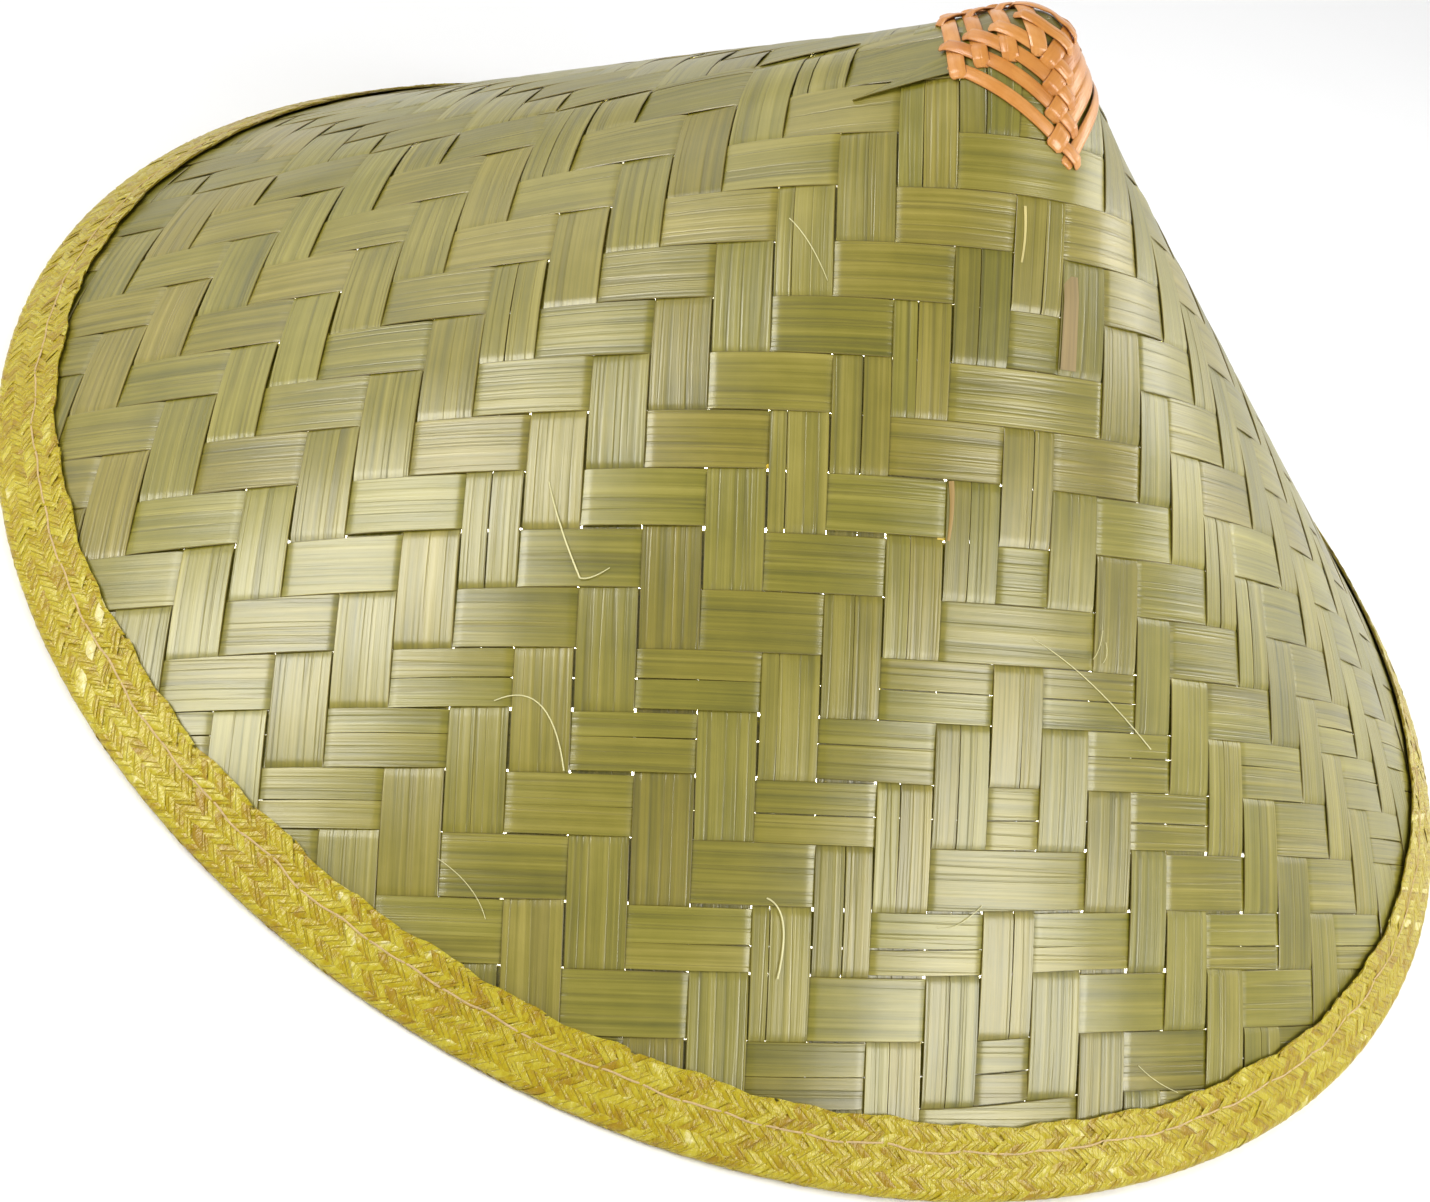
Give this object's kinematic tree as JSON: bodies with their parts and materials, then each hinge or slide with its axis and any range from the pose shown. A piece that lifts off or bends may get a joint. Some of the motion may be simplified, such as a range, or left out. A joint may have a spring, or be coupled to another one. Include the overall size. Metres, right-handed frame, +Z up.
{
  "type": "conical bamboo hat",
  "caption": "Conical hat woven from broad flat bamboo slips, its brim bound with a folded straw braid and its apex covered by a patch of narrow interlaced strips.",
  "frame": {"origin": "centre of the brim, on the plane that the hat rests on", "axes": "+Z up along the axis of the cone, -Y towards the side that the picture shows"},
  "size_m": [0.3994, 0.3994, 0.1761],
  "materials": {
    "bamboo": "smooth green bamboo skin with a soft gloss",
    "straw_braid": "yellow-green braided straw, satin",
    "apex_strip": "orange-dyed flat strip, glossy"
  },
  "bodies": {
    "root": {"woven_crown": "bamboo", "edge_binding": "straw_braid", "apex_strip_front_1": "apex_strip", "apex_strip_front_2": "apex_strip", "apex_strip_front_3": "apex_strip", "apex_strip_front_4": "apex_strip", "apex_strip_front_5": "apex_strip", "apex_strip_right_1": "apex_strip", "apex_strip_right_2": "apex_strip", "apex_strip_right_3": "apex_strip", "apex_strip_right_4": "apex_strip", "apex_strip_right_5": "apex_strip", "apex_strip_back_1": "apex_strip", "apex_strip_back_2": "apex_strip", "apex_strip_back_3": "apex_strip", "apex_strip_back_4": "apex_strip", "apex_strip_left_1": "apex_strip", "apex_strip_left_2": "apex_strip", "apex_strip_left_3": "apex_strip", "apex_strip_left_4": "apex_strip", "apex_strip_left_5": "apex_strip"}
  },
  "joints": []
}
